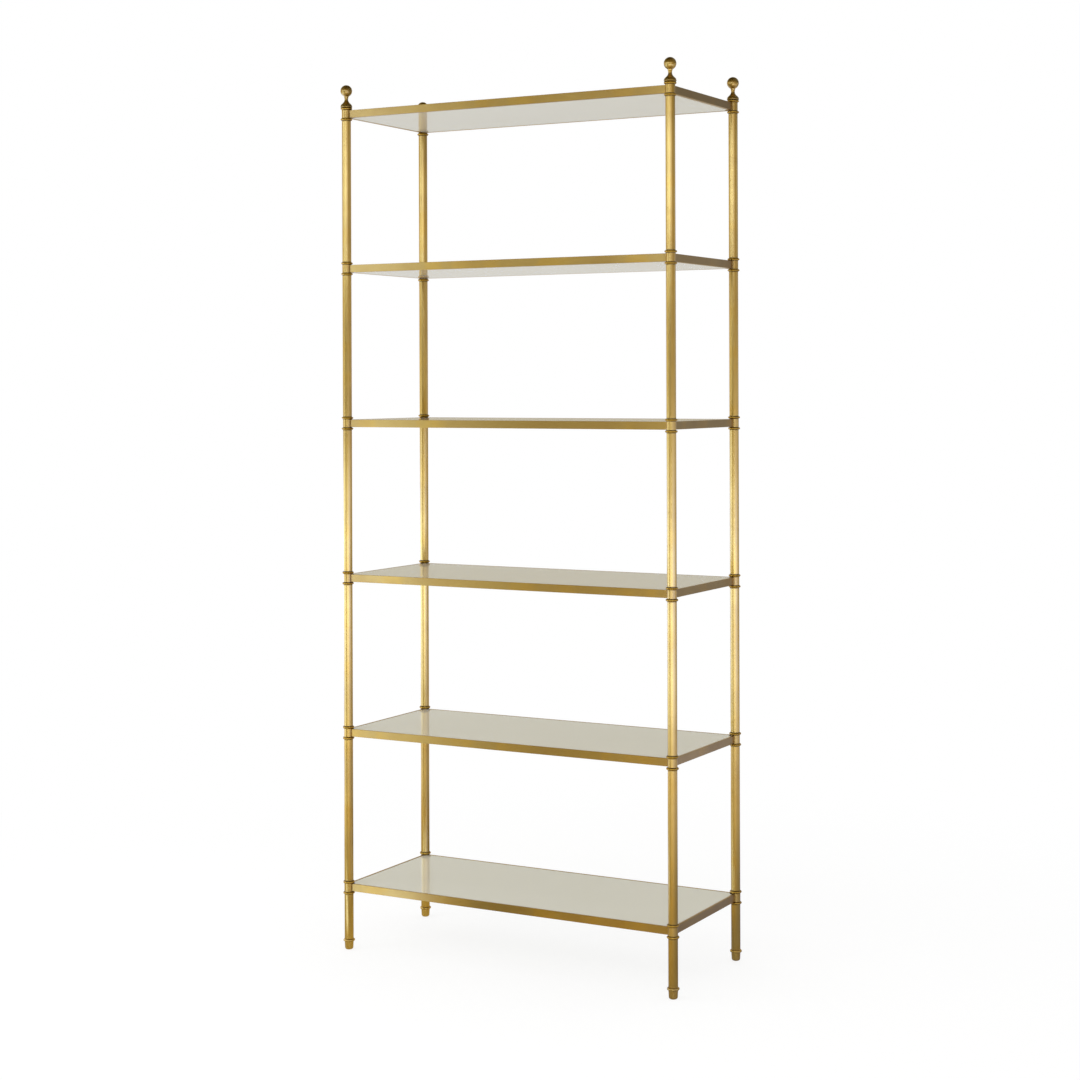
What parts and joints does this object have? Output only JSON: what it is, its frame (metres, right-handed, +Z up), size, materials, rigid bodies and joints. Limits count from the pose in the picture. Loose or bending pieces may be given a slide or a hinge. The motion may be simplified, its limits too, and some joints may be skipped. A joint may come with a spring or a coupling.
{
  "type": "etagere",
  "caption": "Free-standing brass etagere: framed glossy shelf panels between sectioned round posts with ball finials and turned levelling feet.",
  "frame": {"origin": "on the floor under the soles, midway between the four posts", "axes": "+Z up, +X along the long side to the right as seen from the front, +Y towards the back"},
  "size_m": [0.914, 0.3834, 2.1351],
  "materials": {
    "post_brass": "satin aged brass with a faint drawn grain",
    "frame_brass": "satin aged brass, brushed along the bars",
    "panel_lacquer": "glossy warm off-white lacquer on board",
    "rod_steel": "plain zinc-plated thread, hidden in use"
  },
  "bodies": {
    "stand": {"finial_front_left": "post_brass", "finial_front_right": "post_brass", "finial_back_left": "post_brass", "finial_back_right": "post_brass", "shelf_frame_1": "frame_brass", "shelf_frame_2": "frame_brass", "shelf_frame_3": "frame_brass", "shelf_frame_4": "frame_brass", "shelf_frame_5": "frame_brass", "shelf_frame_6": "frame_brass", "shelf_panel_1": "panel_lacquer", "shelf_panel_2": "panel_lacquer", "shelf_panel_3": "panel_lacquer", "shelf_panel_4": "panel_lacquer", "shelf_panel_5": "panel_lacquer", "shelf_panel_6": "panel_lacquer", "post_tube_1_front_left": "post_brass", "post_tube_2_front_left": "post_brass", "post_tube_3_front_left": "post_brass", "post_tube_4_front_left": "post_brass", "post_tube_5_front_left": "post_brass", "post_tube_1_front_right": "post_brass", "post_tube_2_front_right": "post_brass", "post_tube_3_front_right": "post_brass", "post_tube_4_front_right": "post_brass", "post_tube_5_front_right": "post_brass", "post_tube_1_back_left": "post_brass", "post_tube_2_back_left": "post_brass", "post_tube_3_back_left": "post_brass", "post_tube_4_back_left": "post_brass", "post_tube_5_back_left": "post_brass", "post_tube_1_back_right": "post_brass", "post_tube_2_back_right": "post_brass", "post_tube_3_back_right": "post_brass", "post_tube_4_back_right": "post_brass", "post_tube_5_back_right": "post_brass", "leg_tube_front_left": "post_brass", "leg_tube_front_right": "post_brass", "leg_tube_back_left": "post_brass", "leg_tube_back_right": "post_brass", "foot_collar_front_left": "post_brass", "foot_collar_front_right": "post_brass", "foot_collar_back_left": "post_brass", "foot_collar_back_right": "post_brass", "tie_rod_front_left": "rod_steel", "tie_rod_front_right": "rod_steel", "tie_rod_back_left": "rod_steel", "tie_rod_back_right": "rod_steel"},
    "foot_front_left": {"levelling_foot_front_left": "post_brass"},
    "foot_front_right": {"levelling_foot_front_right": "post_brass"},
    "foot_back_left": {"levelling_foot_back_left": "post_brass"},
    "foot_back_right": {"levelling_foot_back_right": "post_brass"}
  },
  "joints": [
    {"name": "level_front_left", "type": "slide", "parent": "stand", "child": "foot_front_left", "axis": [0, 0, -1], "range_m": [0, 0.01]},
    {"name": "level_front_right", "type": "slide", "parent": "stand", "child": "foot_front_right", "axis": [0, 0, -1], "range_m": [0, 0.01]},
    {"name": "level_back_left", "type": "slide", "parent": "stand", "child": "foot_back_left", "axis": [0, 0, -1], "range_m": [0, 0.01]},
    {"name": "level_back_right", "type": "slide", "parent": "stand", "child": "foot_back_right", "axis": [0, 0, -1], "range_m": [0, 0.01]}
  ]
}
